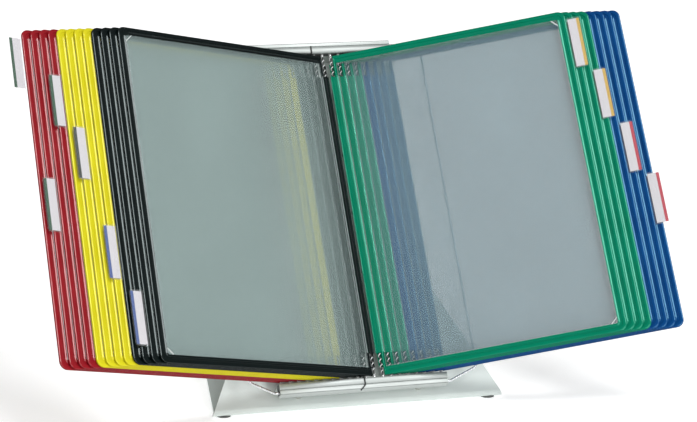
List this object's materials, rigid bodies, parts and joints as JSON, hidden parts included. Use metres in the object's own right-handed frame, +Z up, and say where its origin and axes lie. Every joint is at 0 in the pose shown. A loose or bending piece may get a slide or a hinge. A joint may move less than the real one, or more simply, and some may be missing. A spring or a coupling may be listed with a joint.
{
  "type": "desk display stand with hinged leaves",
  "caption": "Leaning desk stand whose coloured, framed A4 display pockets hinge between two rails and fan open like a book.",
  "frame": {"origin": "on the desk, under the middle of the whole stand", "axes": "+Z up, +X to the reader's right along the rails, +Y away from the reader"},
  "size_m": [0.5726, 0.2607, 0.3332],
  "materials": {
    "painted_steel": "satin powder coat",
    "rubber": "matte",
    "zinc_steel": "zinc plated",
    "anodised_rail": "satin anodised",
    "grey_plastic": "matte",
    "spring_wire": "bright drawn",
    "black_wire": "black oxide",
    "frame_red": "embossed gloss",
    "frame_yellow": "embossed gloss",
    "frame_black": "embossed gloss",
    "frame_green": "embossed gloss",
    "frame_blue": "embossed gloss",
    "clear_film": "clear satin",
    "clear_tab": "clear gloss"
  },
  "bodies": {
    "stand": {"base_sheet": "painted_steel", "rubber_feet": "rubber", "rail_spacers": "zinc_steel", "rail_screws": "zinc_steel", "lower_rail": "anodised_rail", "upper_rail": "anodised_rail", "pivot_strips": "grey_plastic", "left_stop_wire": "spring_wire", "right_stop_wire": "spring_wire", "centre_tie_wire": "black_wire"},
    "leaf_01": {"frame_01": "frame_red", "pocket_01": "clear_film"},
    "leaf_02": {"frame_02": "frame_red", "pocket_02": "clear_film"},
    "leaf_03": {"frame_03": "frame_red", "pocket_03": "clear_film"},
    "leaf_04": {"frame_04": "frame_red", "pocket_04": "clear_film"},
    "leaf_05": {"frame_05": "frame_yellow", "pocket_05": "clear_film"},
    "leaf_06": {"frame_06": "frame_yellow", "pocket_06": "clear_film"},
    "leaf_07": {"frame_07": "frame_yellow", "pocket_07": "clear_film"},
    "leaf_08": {"frame_08": "frame_yellow", "pocket_08": "clear_film"},
    "leaf_09": {"frame_09": "frame_black", "pocket_09": "clear_film"},
    "leaf_10": {"frame_10": "frame_black", "pocket_10": "clear_film"},
    "leaf_11": {"frame_11": "frame_black", "pocket_11": "clear_film"},
    "leaf_12": {"frame_12": "frame_black", "pocket_12": "clear_film"},
    "leaf_13": {"frame_13": "frame_green", "pocket_13": "clear_film"},
    "leaf_14": {"frame_14": "frame_green", "pocket_14": "clear_film"},
    "leaf_15": {"frame_15": "frame_green", "pocket_15": "clear_film"},
    "leaf_16": {"frame_16": "frame_green", "pocket_16": "clear_film"},
    "leaf_17": {"frame_17": "frame_blue", "pocket_17": "clear_film"},
    "leaf_18": {"frame_18": "frame_blue", "pocket_18": "clear_film"},
    "leaf_19": {"frame_19": "frame_blue", "pocket_19": "clear_film"},
    "leaf_20": {"frame_20": "frame_blue", "pocket_20": "clear_film"},
    "tab_01": {"tab_01": "clear_tab"},
    "tab_03": {"tab_03": "clear_tab"},
    "tab_05": {"tab_05": "clear_tab"},
    "tab_07": {"tab_07": "clear_tab"},
    "tab_09": {"tab_09": "clear_tab"},
    "tab_11": {"tab_11": "clear_tab"},
    "tab_13": {"tab_13": "clear_tab"},
    "tab_15": {"tab_15": "clear_tab"},
    "tab_17": {"tab_17": "clear_tab"},
    "tab_19": {"tab_19": "clear_tab"}
  },
  "joints": [
    {"name": "leaf_01_turn", "type": "hinge", "parent": "stand", "child": "leaf_01", "pos_m": [-0.06907, 0.02135, 0.16039], "axis": [0, 0.549, 0.8358], "range_deg": [0, 138]},
    {"name": "leaf_02_turn", "type": "hinge", "parent": "stand", "child": "leaf_02", "pos_m": [-0.06139, 0.02135, 0.16039], "axis": [0, 0.549, 0.8358], "range_deg": [0, 138]},
    {"name": "leaf_03_turn", "type": "hinge", "parent": "stand", "child": "leaf_03", "pos_m": [-0.05373, 0.02135, 0.16039], "axis": [0, 0.549, 0.8358], "range_deg": [0, 138]},
    {"name": "leaf_04_turn", "type": "hinge", "parent": "stand", "child": "leaf_04", "pos_m": [-0.04605, 0.02135, 0.16039], "axis": [0, 0.549, 0.8358], "range_deg": [0, 138]},
    {"name": "leaf_05_turn", "type": "hinge", "parent": "stand", "child": "leaf_05", "pos_m": [-0.03839, 0.02135, 0.16039], "axis": [0, 0.549, 0.8358], "range_deg": [0, 138]},
    {"name": "leaf_06_turn", "type": "hinge", "parent": "stand", "child": "leaf_06", "pos_m": [-0.03071, 0.02135, 0.16039], "axis": [0, 0.549, 0.8358], "range_deg": [0, 138]},
    {"name": "leaf_07_turn", "type": "hinge", "parent": "stand", "child": "leaf_07", "pos_m": [-0.02304, 0.02135, 0.16039], "axis": [0, 0.549, 0.8358], "range_deg": [0, 138]},
    {"name": "leaf_08_turn", "type": "hinge", "parent": "stand", "child": "leaf_08", "pos_m": [-0.01537, 0.02135, 0.16039], "axis": [0, 0.549, 0.8358], "range_deg": [0, 138]},
    {"name": "leaf_09_turn", "type": "hinge", "parent": "stand", "child": "leaf_09", "pos_m": [-0.00771, 0.02135, 0.16039], "axis": [0, 0.549, 0.8358], "range_deg": [0, 138]},
    {"name": "leaf_10_turn", "type": "hinge", "parent": "stand", "child": "leaf_10", "pos_m": [-0.00003, 0.02135, 0.16039], "axis": [0, 0.549, 0.8358], "range_deg": [0, 138]},
    {"name": "leaf_11_turn", "type": "hinge", "parent": "stand", "child": "leaf_11", "pos_m": [0.00764, 0.02135, 0.16039], "axis": [0, 0.549, 0.8358], "range_deg": [0, 138]},
    {"name": "leaf_12_turn", "type": "hinge", "parent": "stand", "child": "leaf_12", "pos_m": [0.0153, 0.02135, 0.16039], "axis": [0, 0.549, 0.8358], "range_deg": [0, 138]},
    {"name": "leaf_13_turn", "type": "hinge", "parent": "stand", "child": "leaf_13", "pos_m": [0.02297, 0.02135, 0.16039], "axis": [0, 0.549, 0.8358], "range_deg": [-138, 0]},
    {"name": "leaf_14_turn", "type": "hinge", "parent": "stand", "child": "leaf_14", "pos_m": [0.03064, 0.02135, 0.16039], "axis": [0, 0.549, 0.8358], "range_deg": [-138, 0]},
    {"name": "leaf_15_turn", "type": "hinge", "parent": "stand", "child": "leaf_15", "pos_m": [0.03832, 0.02135, 0.16039], "axis": [0, 0.549, 0.8358], "range_deg": [-138, 0]},
    {"name": "leaf_16_turn", "type": "hinge", "parent": "stand", "child": "leaf_16", "pos_m": [0.04598, 0.02135, 0.16039], "axis": [0, 0.549, 0.8358], "range_deg": [-138, 0]},
    {"name": "leaf_17_turn", "type": "hinge", "parent": "stand", "child": "leaf_17", "pos_m": [0.05366, 0.02135, 0.16039], "axis": [0, 0.549, 0.8358], "range_deg": [-138, 0]},
    {"name": "leaf_18_turn", "type": "hinge", "parent": "stand", "child": "leaf_18", "pos_m": [0.06132, 0.02135, 0.16039], "axis": [0, 0.549, 0.8358], "range_deg": [-138, 0]},
    {"name": "leaf_19_turn", "type": "hinge", "parent": "stand", "child": "leaf_19", "pos_m": [0.069, 0.02135, 0.16039], "axis": [0, 0.549, 0.8358], "range_deg": [-138, 0]},
    {"name": "leaf_20_turn", "type": "hinge", "parent": "stand", "child": "leaf_20", "pos_m": [0.07666, 0.02135, 0.16039], "axis": [0, 0.549, 0.8358], "range_deg": [-138, 0]},
    {"name": "tab_01_slide", "type": "slide", "parent": "leaf_01", "child": "tab_01", "axis": [0, 0.549, 0.8358], "range_m": [-0.246, 0]},
    {"name": "tab_03_slide", "type": "slide", "parent": "leaf_03", "child": "tab_03", "axis": [0, 0.549, 0.8358], "range_m": [-0.113, 0.133]},
    {"name": "tab_05_slide", "type": "slide", "parent": "leaf_05", "child": "tab_05", "axis": [0, 0.549, 0.8358], "range_m": [-0.209, 0.037]},
    {"name": "tab_07_slide", "type": "slide", "parent": "leaf_07", "child": "tab_07", "axis": [0, 0.549, 0.8358], "range_m": [-0.159, 0.087]},
    {"name": "tab_09_slide", "type": "slide", "parent": "leaf_09", "child": "tab_09", "axis": [0, 0.549, 0.8358], "range_m": [-0.067, 0.179]},
    {"name": "tab_11_slide", "type": "slide", "parent": "leaf_11", "child": "tab_11", "axis": [0, 0.549, 0.8358], "range_m": [-0.007, 0.239]},
    {"name": "tab_13_slide", "type": "slide", "parent": "leaf_13", "child": "tab_13", "axis": [0, 0.549, 0.8358], "range_m": [-0.246, 0]},
    {"name": "tab_15_slide", "type": "slide", "parent": "leaf_15", "child": "tab_15", "axis": [0, 0.549, 0.8358], "range_m": [-0.194, 0.052]},
    {"name": "tab_17_slide", "type": "slide", "parent": "leaf_17", "child": "tab_17", "axis": [0, 0.549, 0.8358], "range_m": [-0.14, 0.106]},
    {"name": "tab_19_slide", "type": "slide", "parent": "leaf_19", "child": "tab_19", "axis": [0, 0.549, 0.8358], "range_m": [-0.089, 0.157]}
  ],
  "couplings": [
    {"joint": "leaf_02_turn", "follows": "leaf_01_turn", "ratio": 1},
    {"joint": "leaf_03_turn", "follows": "leaf_01_turn", "ratio": 1},
    {"joint": "leaf_04_turn", "follows": "leaf_01_turn", "ratio": 1},
    {"joint": "leaf_05_turn", "follows": "leaf_01_turn", "ratio": 1},
    {"joint": "leaf_06_turn", "follows": "leaf_01_turn", "ratio": 1},
    {"joint": "leaf_07_turn", "follows": "leaf_01_turn", "ratio": 1},
    {"joint": "leaf_08_turn", "follows": "leaf_01_turn", "ratio": 1},
    {"joint": "leaf_09_turn", "follows": "leaf_01_turn", "ratio": 1},
    {"joint": "leaf_10_turn", "follows": "leaf_01_turn", "ratio": 1},
    {"joint": "leaf_11_turn", "follows": "leaf_01_turn", "ratio": 1},
    {"joint": "leaf_12_turn", "follows": "leaf_01_turn", "ratio": 1},
    {"joint": "leaf_13_turn", "follows": "leaf_20_turn", "ratio": 1},
    {"joint": "leaf_14_turn", "follows": "leaf_20_turn", "ratio": 1},
    {"joint": "leaf_15_turn", "follows": "leaf_20_turn", "ratio": 1},
    {"joint": "leaf_16_turn", "follows": "leaf_20_turn", "ratio": 1},
    {"joint": "leaf_17_turn", "follows": "leaf_20_turn", "ratio": 1},
    {"joint": "leaf_18_turn", "follows": "leaf_20_turn", "ratio": 1},
    {"joint": "leaf_19_turn", "follows": "leaf_20_turn", "ratio": 1}
  ]
}
